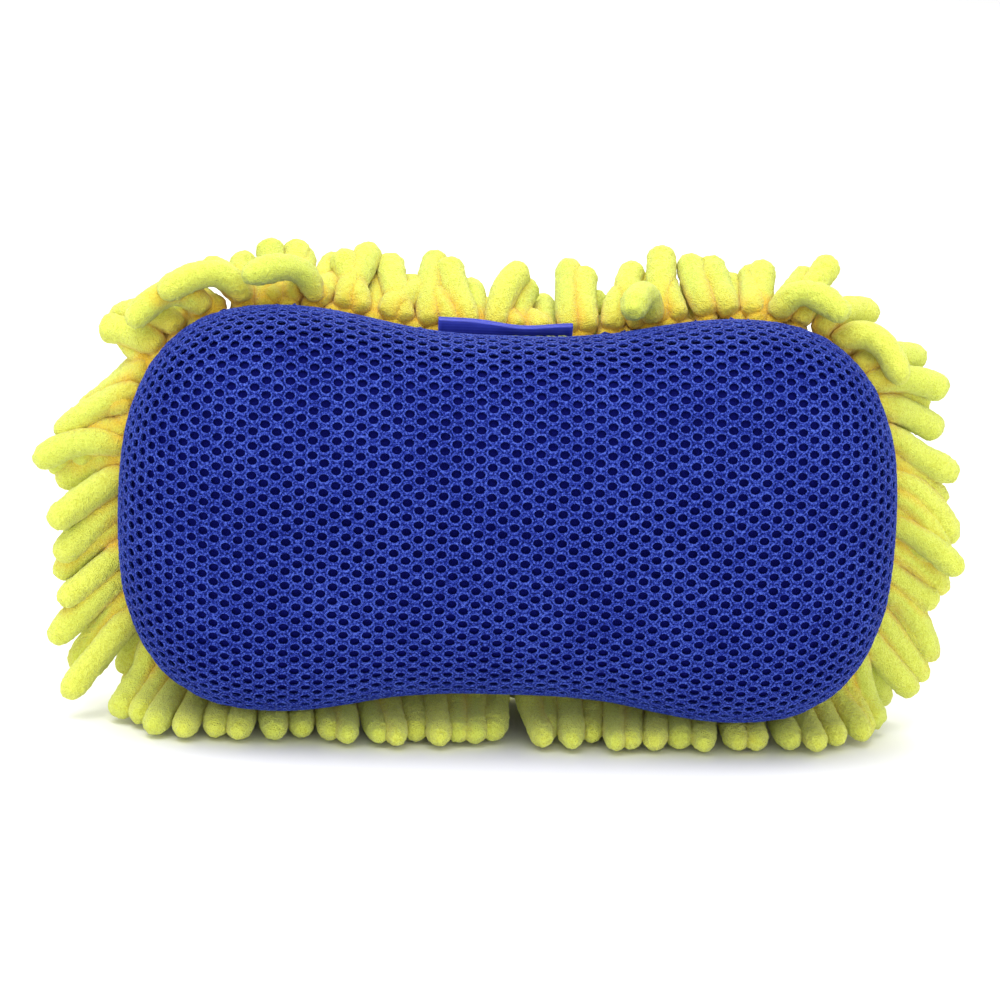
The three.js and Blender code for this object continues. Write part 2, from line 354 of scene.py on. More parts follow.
@dataclass(frozen=True)
class ChenilleFinish(Finish):
    """Short split fibres: velvety, paler at the tips, with painted warm shade near the roots and
    where fingers crowd.
    """

    fluff: float = 0.9 * MM
    fibre: float = 0.34 * MM
    shaded: tuple = (0.60, 0.64, 0.05)
    bright: tuple = (0.83, 0.88, 0.14)
    # The warm orange of the painted shade in the crevices between fingers.
    crevice_shade_colour: tuple = (0.86, 0.44, 0.012)
    green: tuple = (0.50, 0.66, 0.09)

    def paint(self, shader: Shader) -> None:
        """Mixes the fibre tones with painted warm shade in the crevices and a greener cast finger
        by finger.

        Args:
            shader: The material's node tree.
        """
        fluff = shader.noise(self.fluff, 3.0)
        fibre = shader.noise(self.fibre, 1.0)
        pelt = fluff * 0.45 + fibre * 0.55
        fibres = shader.ramp(pelt, [(0.34, self.shaded), (0.6, self.bright)])
        cast = shader.mix(shader.attribute("cast") * 0.35, fibres, self.green)
        # Painted shade: crevices between crowded fingers and the roots turn warm, with a little
        # noise from the pelt.
        crowd = shader.limit(shader.attribute("crowd") * 0.72 + (0.5 - pelt) * 0.5)
        colour = shader.mix(crowd, cast, self.crevice_shade_colour)
        shader.finish(colour, 0.96 - pelt * 0.1, pelt, 1.1 * MM)


@dataclass(frozen=True)
class PanelFinish(Finish):
    """The woven yellow panel that the fingers are stitched to."""

    pick: float = 0.55 * MM
    dark: tuple = (0.52, 0.34, 0.02)
    light: tuple = (0.80, 0.62, 0.06)

    def paint(self, shader: Shader) -> None:
        """A plain weave from two crossing waves.

        Args:
            shader: The material's node tree.
        """
        warp, weft = (shader.wave(self.pick, direction, 0.4) for direction in "XZ")
        weave = warp * 0.5 + weft * 0.5
        tone = weave * 0.7 + shader.noise(6 * MM, 3.0) * 0.3
        colour = shader.ramp(tone, [(0.2, self.dark), (0.8, self.light)])
        shader.finish(colour, 0.95 - weave * 0.1, weave, 0.25 * MM)


@dataclass(frozen=True)
class RibbonFinish(Finish):
    """Satin ribbon: fine ribs along its length, plain."""

    rib: float = 0.4 * MM
    dark: tuple = (0.012, 0.018, 0.25)
    light: tuple = (0.07, 0.10, 0.66)

    def paint(self, shader: Shader) -> None:
        """Fine ribs with a little wear, and a painted highlight on the fold's top and the cut ends.

        Args:
            shader: The material's node tree.
        """
        ribs = shader.wave(self.rib, "Z", 0.3)
        wear = shader.noise(5 * MM, 3.0)
        # The edge attribute is a painted highlight on the fold's top and the cut ends.
        tone = ribs * 0.14 + wear * 0.5 + shader.attribute("edge") * 0.5
        colour = shader.ramp(tone, [(0.15, self.dark), (0.9, self.light)])
        shader.finish(colour, 0.46 - wear * 0.16, ribs * 0.5 + wear * 0.5, 0.03 * MM)


@dataclass(frozen=True)
class ThreadFinish(Finish):
    """Twisted sewing thread."""

    twist: float = 0.35 * MM
    dark: tuple = (0.05, 0.06, 0.008)
    light: tuple = (0.34, 0.38, 0.06)

    def paint(self, shader: Shader) -> None:
        """Diagonal twist lines.

        Args:
            shader: The material's node tree.
        """
        twist = shader.wave(self.twist, "DIAGONAL", 0.5)
        tone = twist * 0.7 + shader.noise(1.5 * MM, 2.0) * 0.3
        colour = shader.ramp(tone, [(0.1, self.dark), (0.9, self.light)])
        shader.finish(colour, 0.75 - twist * 0.2, twist, 0.1 * MM)


@dataclass(frozen=True)
class FoamFinish(Finish):
    """Open-cell foam."""

    cell: float = 1.1 * MM
    pit_shade: tuple = (0.42, 0.36, 0.22)
    wall: tuple = (0.82, 0.77, 0.62)

    def paint(self, shader: Shader) -> None:
        """Cells with thin walls, painted shade in their pits and a slow change of tone.

        Args:
            shader: The material's node tree.
        """
        inputs = {"Vector": shader.place, "Scale": 1.0 / self.cell}
        cells = shader.add("ShaderNodeTexVoronoi", {"feature": "DISTANCE_TO_EDGE"}, inputs, 0)
        tone = cells * 1.6 + shader.noise(18 * MM, 3.0) * 0.4
        # The cells' pits are darker: painted shade in the recesses.
        colour = shader.ramp(tone, [(0.1, self.wall), (0.9, self.pit_shade)])
        shader.finish(colour, 0.9 - cells * 0.1, 1.0 - cells, 0.5 * MM)


@dataclass(frozen=True)
class FloorFinish(Finish):
    """A plain pale studio surface."""

    dark: tuple = (0.93, 0.93, 0.925)
    light: tuple = (0.97, 0.97, 0.965)

    def paint(self, shader: Shader) -> None:
        """A very faint mottle.

        Args:
            shader: The material's node tree.
        """
        mottle = shader.noise(0.25, 3.0)
        colour = shader.ramp(mottle, [(0.3, self.dark), (0.7, self.light)])
        shader.finish(colour, 0.65 + mottle * 0.1, shader.noise(1.2 * MM, 2.0), 0.02 * MM)


# ---- Workshop tools -----------------------------------------------------------------------------


def clear_selection() -> None:
    """Deselects every object."""
    for item in list(bpy.context.selected_objects):
        item.select_set(False)


class Editing:
    """Edit mode on one object, for a with statement."""

    def __init__(self, item: bpy.types.Object) -> None:
        """Remembers the object.

        Args:
            item: The object to edit.
        """
        self.item = item

    def __enter__(self) -> bpy.types.Object:
        """Selects the object alone and opens edit mode with everything selected."""
        clear_selection()
        self.item.select_set(True)
        bpy.context.view_layer.objects.active = self.item
        bpy.ops.object.mode_set(mode="EDIT")
        bpy.ops.mesh.select_mode(type="VERT")
        bpy.ops.mesh.select_all(action="SELECT")
        return self.item

    def __exit__(self, *_: object) -> None:
        """Goes back to object mode."""
        bpy.ops.object.mode_set(mode="OBJECT")


def select_where(item: bpy.types.Object, wanted: Callable[[np.ndarray], np.ndarray]) -> None:
    """Selects vertices by their place, from inside edit mode.

    Args:
        item: The object in edit mode.
        wanted: Says for rows of x, y, z which are selected.
    """
    bpy.ops.mesh.select_all(action="DESELECT")
    bpy.ops.object.mode_set(mode="OBJECT")
    item.data.vertices.foreach_set("select", wanted(points_of(item)))
    bpy.ops.object.mode_set(mode="EDIT")


def points_of(item: bpy.types.Object) -> np.ndarray:
    """The vertices of a mesh object as rows of x, y, z.

    Args:
        item: The mesh object.

    Returns:
        Its points.
    """
    held = np.zeros(3 * len(item.data.vertices), np.float32)
    item.data.vertices.foreach_get("co", held)
    return held.reshape(-1, 3).astype(float)


def move_points(item: bpy.types.Object, points: np.ndarray) -> None:
    """Puts the vertices of a mesh object at new places."""
    item.data.vertices.foreach_set("co", np.asarray(points, np.float32).ravel())
    item.data.update()


def make_mesh(name: str, points: np.ndarray, faces: list) -> bpy.types.Object:
    """Makes a mesh object at the origin.

    Args:
        name: The piece's name.
        points: Its vertices.
        faces: Its faces, as lists of vertex numbers.

    Returns:
        The new object.
    """
    mesh = bpy.data.meshes.new(name)
    mesh.from_pydata(np.asarray(points, float).tolist(), [], faces)
    mesh.update()
    made = bpy.data.objects.new(name, mesh)
    bpy.context.collection.objects.link(made)
    return made


def repeat_faces(faces: list, size: int, copies: int) -> list:
    """The faces of several copies of one shape whose points follow each other.

    Args:
        faces: One copy's faces.
        size: How many points it has.
        copies: How many there are.

    Returns:
        All the faces.
    """
    return [[k * size + corner for corner in face] for k in range(copies) for face in faces]


def set_attribute(item: bpy.types.Object, name: str, values: np.ndarray) -> None:
    """Stores a number at each vertex for the finish to read."""
    held = item.data.attributes.new(name, "FLOAT", "POINT")
    held.data.foreach_set("value", np.asarray(values, np.float32))


def add_modifier(item: bpy.types.Object, kind: str, settings: dict, apply: bool = False) -> None:
    """Adds a modifier, and applies it if asked.

    Args:
        item: The object.
        kind: The modifier's type.
        settings: Its settings.
        apply: Whether it is applied at once.
    """
    made = item.modifiers.new(kind.title(), kind)
    for name, value in settings.items():
        setattr(made, name, value)
    if apply:
        clear_selection()
        item.select_set(True)
        bpy.context.view_layer.objects.active = item
        bpy.ops.object.modifier_apply(modifier=made.name)


def subdivide(item: bpy.types.Object, level: int) -> None:
    """Leaves a live subdivision surface on a piece."""
    add_modifier(item, "SUBSURF", {"levels": level, "render_levels": level})


def dress(item: bpy.types.Object, finish: bpy.types.Material, body: str) -> None:
    """Gives a piece its finish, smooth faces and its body.

    Args:
        item: The piece.
        finish: Its material.
        body: The CAD body that it rides on.
    """
    item.data.materials.clear()
    item.data.materials.append(finish)
    item.data.polygons.foreach_set("use_smooth", np.ones(len(item.data.polygons), bool))
    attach(item, body)
    LOG.info("%s: %d faces, on %s", item.name, len(item.data.polygons), body)


# ---- The figure-eight form ----------------------------------------------------------------------


@dataclass(frozen=True)
class Form:
    """The pad's figure-eight form. Depth runs from the seam, negative towards the mesh face."""

    half_length: float
    half_lobe: float
    middle: float
    seam: float
    half_waist: float = 46.5 * MM
    crest: float = 58 * MM
    fullness: float = 2.6
    flank: float = 15 * MM
    depth: float = 45.5 * MM
    shoulder: float = 42 * MM
    squareness: float = 2.5
    seam_pull: float = 1.4 * MM
    seam_gap: float = 0.6 * MM
    allowance: float = 6 * MM
    edge_stretch: float = 0.84
    tuck_depth: float = 1.8 * MM
    tuck_place: float = -2 * MM
    tuck_reach: tuple = (19 * MM, 7 * MM)

    @classmethod
    def from_frame(cls) -> "Form":
        """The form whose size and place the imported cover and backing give."""
        low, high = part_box("mesh_cover")
        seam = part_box("chenille_backing")[0].y
        return cls((high.x - low.x) / 2, (high.z - low.z) / 2, (high.z + low.z) / 2, seam)

    @property
    def reach(self) -> float:
        """From a lobe's crest to the end."""
        return self.half_length - self.crest

    def half_height(self, x: np.ndarray) -> np.ndarray:
        """Half the outline's height between the crests."""
        share = np.clip(np.abs(x) / self.crest, 0, 1)
        return self.half_waist + (self.half_lobe - self.half_waist) * np.sin(np.pi / 2 * share) ** 4

    def outline(self, inset: float, count: int = 720) -> np.ndarray:
        """The outline as rows of x, z from the waist's top towards +X and round, evenly spaced.

        Args:
            inset: How far it is drawn in.
            count: How many points it has.

        Returns:
            The points, relative to the pad's middle.
        """
        across = np.linspace(0, self.crest, 120, endpoint=False)
        turn = np.linspace(0, np.pi / 2, 240)
        power = 2 / self.fullness
        x = np.concatenate([across, self.crest + (self.reach - inset) * np.sin(turn) ** power])
        crown = (self.half_lobe - inset) * np.clip(np.cos(turn), 0, 1) ** power
        z = np.concatenate([self.half_height(across) - inset, crown])
        right = np.concatenate([np.stack([x, z], 1), np.stack([x, -z], 1)[-2::-1]])
        whole = np.concatenate([right, (right * [-1, 1])[-2::-1]])
        steps = np.linalg.norm(np.diff(whole, axis=0), axis=1)
        run = np.concatenate([[0], np.cumsum(steps)])
        at = np.linspace(0, run[-1], count, endpoint=False)
        return np.stack([np.interp(at, run, whole[:, k]) for k in range(2)], 1)

    def inset_of(self, x: np.ndarray, z: np.ndarray) -> np.ndarray:
        """How far inside the outline each point lies; outside is negative.

        Args:
            x: Across, from the middle.
            z: Up, from the middle.

        Returns:
            The insets.
        """
        over, up = np.abs(x) - self.crest, np.abs(z)
        least, most = np.full(x.shape, -90 * MM), np.full(x.shape, self.reach - 1e-6)
        beyond = np.maximum(over, 0)
        for _ in range(30):
            trial = (least + most) / 2
            size = (beyond / (self.reach - trial)) ** self.fullness
            size += (up / (self.half_lobe - trial)) ** self.fullness
            least = np.where(size < 1, trial, least)
            most = np.where(size < 1, most, trial)
        return np.where(over > 0, least, self.half_height(x) - up)

    def profile(self) -> tuple[np.ndarray, np.ndarray, np.ndarray]:
        """The section from the front face's middle out to the seam and in under it.

        Returns:
            The inset on the flat cut, the inset on the pad and the depth, from seam to middle.
        """
        turn = np.linspace(np.pi / 2, 0, 160)
        power = 2 / self.squareness
        inset = self.shoulder * (1 - np.clip(np.cos(turn), 0, 1) ** power)
        depth = -self.flank - (self.depth - self.flank) * np.sin(turn) ** power
        back = np.linspace(0, 1, 40)[1:]
        inset = np.concatenate([inset, self.seam_pull * back**2.2])
        depth = np.concatenate([depth, -self.flank + (self.flank - self.seam_gap) * back])
        under = np.linspace(0, 1, 12)[1:]
        inset = np.concatenate([inset, self.seam_pull + self.allowance * under])
        depth = np.concatenate([depth, -self.seam_gap * np.ones_like(under)])
        run = np.hypot(np.diff(inset), np.diff(depth))
        stretch = np.interp(np.cumsum(run), [24 * MM, 40 * MM], [1.0, self.edge_stretch])
        flat = self.shoulder - np.concatenate([[0], np.cumsum(run * stretch)])
        return flat[::-1], inset[::-1], depth[::-1]

    def surface(self, u: np.ndarray, v: np.ndarray) -> np.ndarray:
        """Lays points of the flat cut on the pad.

        Args:
            u: Across the cut, from its middle.
            v: Up the cut, from its middle.

        Returns:
            Rows of x, y, z in the frame.
        """
        flat, inset, depth = self.profile()
        held = self.inset_of(u, v)
        bound = np.clip(held, flat[0], self.shoulder)
        moved = np.where(held < self.shoulder, np.interp(bound, flat, inset), held)
        y = np.interp(bound, flat, depth)
        over = np.abs(u) > self.crest
        room = self.reach - np.minimum(held, self.shoulder)
        grow_x = np.where(over, (self.reach - moved) / room, 1)
        grow_z = (self.half_lobe - moved) / (self.half_lobe - held)
        x = np.where(over, np.sign(u) * (self.crest + (np.abs(u) - self.crest) * grow_x), u)
        z = np.where(over, v * grow_z, np.sign(v) * (self.half_height(u) - moved))
        centre = held >= self.shoulder
        x, z = np.where(centre, u, x), np.where(centre, v, z)
        return self.tuck(np.stack([x, y + self.seam, z + self.middle], 1))

    def tuck(self, points: np.ndarray) -> np.ndarray:
        """Draws the cover down where the label is sewn in.

        Args:
            points: Rows of x, y, z in the frame.

        Returns:
            The same points, those near the label's foot lowered.
        """
        across = (points[:, 0] - self.tuck_place) / self.tuck_reach[0]
        deep = (points[:, 1] - self.seam) / self.tuck_reach[1]
        upper = np.clip((points[:, 2] - self.middle) / self.half_waist, 0, 1)
        lowered = points.copy()
        lowered[:, 2] -= self.tuck_depth * np.exp(-(across**4) - deep**2) * upper**2
        return lowered

    def lay(self, u: np.ndarray, v: np.ndarray, rise: np.ndarray) -> tuple[np.ndarray, np.ndarray]:
        """Lays points of the flat cut on the pad and lifts them off it.

        Args:
            u: Across the cut.
            v: Up the cut.
            rise: How far each point stands off the surface.

        Returns:
            The points and the surface's outward directions there.
        """
        step = 0.15 * MM
        here = self.surface(u, v)
        along = self.surface(u + step, v) - self.surface(u - step, v)
        up = self.surface(u, v + step) - self.surface(u, v - step)
        outward = np.cross(along, up)
        length = np.linalg.norm(outward, axis=1, keepdims=True)
        outward = outward / np.maximum(length, 1e-12)
        return here + outward * rise[:, None], outward

    def stand(self, flat: np.ndarray, y: np.ndarray | float) -> np.ndarray:
        """Stands points of the outline up in the frame.

        Args:
            flat: Rows of x, z, relative to the pad's middle.
            y: Their place along Y.

        Returns:
            Rows of x, y, z.
        """
        return np.stack([flat[:, 0], y + np.zeros(len(flat)), flat[:, 1] + self.middle], 1)

    def rings(self, under: float, around: int, levels: int) -> list[np.ndarray]:
        """Rings of a skin that lies under the cover's face, from the seam to the front's middle.

        Args:
            under: How far under.
            around: Points in each ring.
            levels: How many rings.

        Returns:
            The rings, each as rows of x, y, z.
        """
        _, inset, depth = self.profile()
        start = int(np.argmax(inset <= self.seam_pull + 1e-9))
        inset, depth = inset[start:], depth[start:]
        run = np.concatenate([[0], np.cumsum(np.hypot(np.diff(inset), np.diff(depth)))])
        at = np.linspace(0, run[-1], levels)
        insets, depths = np.interp(at, run, inset), np.interp(at, run, depth)
        made = []
        for drawn, y in zip(insets, depths):
            share = np.clip(drawn / self.shoulder, 0, 1)
            lowered = y + under * math.sin(math.pi / 2 * share)
            flat = self.outline(min(drawn + under * (1 - share), self.reach - 0.5 * MM), around)
            made.append(self.tuck(self.stand(flat, lowered + self.seam)))
        return made


def loft(
    name: str, rings: list[np.ndarray], first: np.ndarray | None, last: np.ndarray | None
) -> bpy.types.Object:
    """Skins rings of equal numbers of points.

    Args:
        name: The piece's name.
        rings: The rings in order.
        first: A pole that closes the first ring, if it is closed.
        last: A pole that closes the last ring, if it is closed.

    Returns:
        The skinned piece, its faces turned outwards where it is closed.
    """
    around = len(rings[0])
    points = np.concatenate(rings)
    faces = []
    for ring in range(len(rings) - 1):
        low = ring * around
        for k in range(around):
            after = (k + 1) % around
            faces.append([low + k, low + after, low + around + after, low + around + k])
    for pole, ring in ((first, 0), (last, len(rings) - 1)):
        if pole is None:
            continue
        points = np.concatenate([points, pole[None]])
        base = ring * around
        for k in range(around):
            faces.append([base + k, base + (k + 1) % around, len(points) - 1])
    made = make_mesh(name, points, faces)
    with Editing(made):
        bpy.ops.mesh.normals_make_consistent(inside=False)
    return made


def tree_of(item: bpy.types.Object) -> BVHTree:
    """A mesh object's faces as a tree for casting rays at."""
    faces = [list(p.vertices) for p in item.data.polygons]
    return BVHTree.FromPolygons(points_of(item).tolist(), faces)


# ---- Foam core ----------------------------------------------------------------------------------


@dataclass
class Core:
    """The foam block, swollen against its cover by a pressure simulation."""

    form: Form
    under: float = 3.3 * MM
    voxel: float = 5 * MM
    pressure: float = 4.0
    quality: int = 6
    stretch_stiffness: float = 25.0
    bend_stiffness: float = 4.0
    held_band: float = 2 * MM
    frames: int = 20
    most: float = 2.5 * MM
    ray_start: float = 15 * MM
    around: int = 96
    levels: int = 26
    before: BVHTree | None = field(default=None, repr=False)
    tree: BVHTree | None = field(default=None, repr=False)

    def build(self) -> bpy.types.Object:
        """Builds the block and swells it."""
        rings = self.form.rings(self.under, self.around, self.levels)
        middle = rings[-1].mean(0)
        back = np.array([0, self.form.seam - self.form.seam_gap, self.form.middle])
        made = loft("foam_block", rings, back, middle)
        self.before = tree_of(made)
        made = self.swell(made)
        self.tree = tree_of(made)
        return made

    def swell(self, block: bpy.types.Object) -> bpy.types.Object:
        """Swells a block with Cloth, its pressure the foam's, and keeps each point's move small.

        Args:
            block: The block as lofted.

        Returns:
            The swollen block.
        """
        add_modifier(block, "REMESH", {"mode": "VOXEL", "voxel_size": self.voxel}, apply=True)
        start = points_of(block)
        cloth = block.modifiers.new("Cloth", "CLOTH")
        settings = cloth.settings
        settings.use_pressure = True
        settings.uniform_pressure_force = self.pressure
        settings.effector_weights.gravity = 0.0
        settings.quality = self.quality
        settings.tension_stiffness = self.stretch_stiffness
        settings.compression_stiffness = self.stretch_stiffness
        settings.bending_stiffness = self.bend_stiffness
        group = block.vertex_groups.new(name="seam")
        seam = np.nonzero(start[:, 1] > self.form.seam - self.held_band)[0]
        group.add([int(k) for k in seam], 1.0, "REPLACE")
        settings.vertex_group_mass = "seam"
        for number in range(1, self.frames + 1):
            bpy.context.scene.frame_set(number)
        shown = block.evaluated_get(bpy.context.evaluated_depsgraph_get())
        swollen = np.array([v.co for v in shown.data.vertices])
        block.modifiers.remove(cloth)
        bpy.context.scene.frame_set(1)
        move = swollen - start
        length = np.linalg.norm(move, axis=1, keepdims=True)
        move_points(block, start + move * np.minimum(1, self.most / np.maximum(length, TINY)))
        add_modifier(block, "SUBSURF", {"levels": 1, "render_levels": 1}, apply=True)
        return block

    def offsets(self, points: np.ndarray, outward: np.ndarray) -> np.ndarray:
        """How far the swollen foam pushes the cover out at each point.

        Args:
            points: Points on the cover.
            outward: The cover's directions there.

        Returns:
            The pushes, 0 where the foam lies out of reach.
        """
        pushes = np.zeros(len(points))
        for k, (point, normal) in enumerate(zip(points, outward)):
            start, ray = Vector(point + normal * self.ray_start), Vector(-normal)
            now = self.tree.ray_cast(start, ray, 3 * self.ray_start)[3]
            then = self.before.ray_cast(start, ray, 3 * self.ray_start)[3]
            if now is not None and then is not None:
                pushes[k] = then - now
        return np.clip(pushes, -self.most, self.most)


# ---- Spacer-mesh cover --------------------------------------------------------------------------


@dataclass
class Cover:
    """The spacer-mesh cover: a dark inner layer and a knitted face with real holes."""

    form: Form
    core: Core
    pitch: float = 6.0 * MM
    row: float = 1.85 * MM
    hole: tuple = (1.2 * MM, 0.97 * MM)
    ridge: tuple = (1.42 * MM, 1.18 * MM)
    ridge_rise: float = 0.2 * MM
    rim_drop: float = -0.2 * MM
    thickness: float = 1.0 * MM
    sides: int = 12
    lining_under: float = 1.15 * MM
    lining_wall: float = 1.4 * MM
    lining_grid: tuple = (240, 44)
    tiling: tuple = (48, 60)
    edge_room: float = 2.5 * MM
    weld: float = 0.02 * MM
    # How light the knit finish paints the ridge tops, the cell borders and the hole rims: a painted
    # highlight on the ridges.
    ridge_highlight_levels: tuple = (1.0, 0.25, 0.45)
    thirds: tuple = ("left", "middle", "right")

    def build_lining(self) -> bpy.types.Object:
        """Builds the inner layer as a thin closed shell, open only inside at the seam."""
        rings = self.form.rings(self.lining_under, *self.lining_grid)
        made = loft("cover_lining", rings, None, rings[-1].mean(0))
        points = points_of(made)
        normals = np.array([v.normal for v in made.data.vertices])
        if (normals[:, 1] * (points[:, 1] < self.form.seam - self.form.flank)).sum() > 0:
            with Editing(made):
                bpy.ops.mesh.flip_normals()
            normals = -normals
        move_points(made, points + normals * self.core.offsets(points, normals)[:, None])
        add_modifier(made, "SOLIDIFY", {"thickness": self.lining_wall, "offset": -1.0}, apply=True)
        return made

    def build_cell(self) -> tuple[np.ndarray, list, np.ndarray]:
        """Models one hole with its ridge, out to the six-sided cell that tiles the cut.

        Returns:
            The cell's points, faces and how far each point stands on a ridge.
        """
        clear_selection()
        bpy.ops.mesh.primitive_circle_add(vertices=self.sides, radius=1.0, fill_type="NOTHING")
        cell = bpy.context.object
        centre = (0.0, 0.0, 0.0)
        with Editing(cell):
            bpy.ops.transform.resize(value=(*self.hole, 1.0), center_override=centre)
            bpy.ops.transform.translate(value=(0, 0, self.rim_drop))
            grow = (self.ridge[0] / self.hole[0], self.ridge[1] / self.hole[1], 1.0)
            rise = {"value": (0, 0, self.ridge_rise - self.rim_drop)}
            bpy.ops.mesh.extrude_region_move(TRANSFORM_OT_translate=rise)
            bpy.ops.transform.resize(value=grow, center_override=centre)
            drop = {"value": (0, 0, -self.ridge_rise)}
            bpy.ops.mesh.extrude_region_move(TRANSFORM_OT_translate=drop)
        points = points_of(cell)
        outer = np.abs(points[:, 2]) < 1e-7
        turn = np.arctan2(points[outer, 1] / self.hole[1], points[outer, 0] / self.hole[0])
        points[outer] = self.hexagon(turn)
        faces = [list(p.vertices) for p in cell.data.polygons]
        first = points[faces[0]]
        if np.cross(first[1] - first[0], first[2] - first[0])[2] < 0:
            faces = [face[::-1] for face in faces]
        bpy.data.objects.remove(cell)
        # A painted highlight: brightest on the ridge tops, less on the hole rims, least on the cell
        # borders.
        ridge, border, rim = self.ridge_highlight_levels
        on_top = np.abs(points[:, 2] - self.ridge_rise) < 1e-7
        ridge_highlight = np.where(on_top, ridge, np.where(outer, border, rim))
        return points, faces, ridge_highlight

    def hexagon(self, turn: np.ndarray) -> np.ndarray:
        """Points on the cell's border in given directions.

        Args:
            turn: The directions as angles.

        Returns:
            Rows of x, y, 0 on the six-sided border.
        """
        half, rise = self.pitch / 2, self.row
        across, up = np.cos(turn), np.sin(turn)
        limit = (half**2 + rise**2) / 2
        slanted = limit / np.maximum(half * np.abs(across) + rise * np.abs(up), TINY)
        level = rise / np.maximum(np.abs(up), TINY)
        far = np.minimum(slanted, level)
        return np.stack([across * far, up * far, np.zeros_like(far)], 1)

    def build_knit(self) -> list[bpy.types.Object]:
        """Tiles the cell over the flat cut, lays it on the pad and closes it, in three lengths."""
        cell, faces, ridge = self.build_cell()
        flat = self.form.profile()[0]
        columns, rows = (np.arange(-most, most + 1) for most in self.tiling)
        places = [(column, row) for column in columns for row in rows if (column + row) % 2 == 0]
        centres = np.array(places) * [self.pitch / 2, self.row]
        inside = self.form.inset_of(centres[:, 0], centres[:, 1])
        centres = centres[inside > flat[0] + self.edge_room]
        bound = self.form.crest / 1.7
        made = []
        for number, third in enumerate(self.thirds):
            part = centres[np.digitize(centres[:, 0], [-bound, bound]) == number]
            made.append(self.lay_cells(f"knit_face_{third}", part, cell, faces, ridge))
        return made

    def lay_cells(
        self, name: str, centres: np.ndarray, cell: np.ndarray, faces: list, ridge: np.ndarray
    ) -> bpy.types.Object:
        """Lays copies of the cell on the pad as one knitted piece.

        Args:
            name: The piece's name.
            centres: The cells' middles on the flat cut.
            cell: One cell's points.
            faces: One cell's faces.
            ridge: How far each point stands on a ridge.

        Returns:
            The piece, welded and given its thickness.
        """
        flat = (centres[:, None, :] + cell[None, :, :2]).reshape(-1, 2)
        rise = np.tile(cell[:, 2], len(centres))
        points, outward = self.form.lay(flat[:, 0], flat[:, 1], rise)
        points += outward * self.core.offsets(points, outward)[:, None]
        made = make_mesh(name, points, repeat_faces(faces, len(cell), len(centres)))
        set_attribute(made, "ridge", np.tile(ridge, len(centres)))
        with Editing(made):
            bpy.ops.mesh.remove_doubles(threshold=self.weld)
        wall = {"thickness": self.thickness, "offset": -1.0, "use_rim": True}
        add_modifier(made, "SOLIDIFY", wall)
        return made

    def dress(self, knit: Finish, lining: Finish) -> None:
        """Builds the cover's pieces and gives them their finishes.

        Args:
            knit: The outer face's finish.
            lining: The inner layer's finish.
        """
        inner = self.build_lining()
        dress(inner, lining.material(), "pad")
        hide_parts("mesh_cover")
        finish = knit.material()
        for piece in self.build_knit():
            dress(piece, finish, "pad")


# ---- Chenille pile ------------------------------------------------------------------------------


@dataclass(frozen=True)
class Strand:
    """One chenille finger: its curve's four control points, its radius and its cast of colour."""

    knots: np.ndarray
    radius: float
    cast: float

    def centres(self, shares: np.ndarray) -> np.ndarray:
        """Points on the finger's middle line at shares of its length.

        Args:
            shares: Shares of the finger's length, from the root.

        Returns:
            Rows of x, y, z.
        """
        t = shares[:, None]
        a, b, c, d = self.knots
        return a * (1 - t) ** 3 + 3 * b * t * (1 - t) ** 2 + 3 * c * t**2 * (1 - t) + d * t**3

    def tangents(self, shares: np.ndarray) -> np.ndarray:
        """Directions along the finger's middle line at shares of its length.

        Args:
            shares: Shares of the finger's length, from the root.

        Returns:
            Rows of unit directions.
        """
        t = shares[:, None]
        a, b, c, d = self.knots
        slope = 3 * (b - a) * (1 - t) ** 2 + 6 * (c - b) * t * (1 - t) + 3 * (d - c) * t**2
        return slope / np.maximum(np.linalg.norm(slope, axis=1, keepdims=True), TINY)


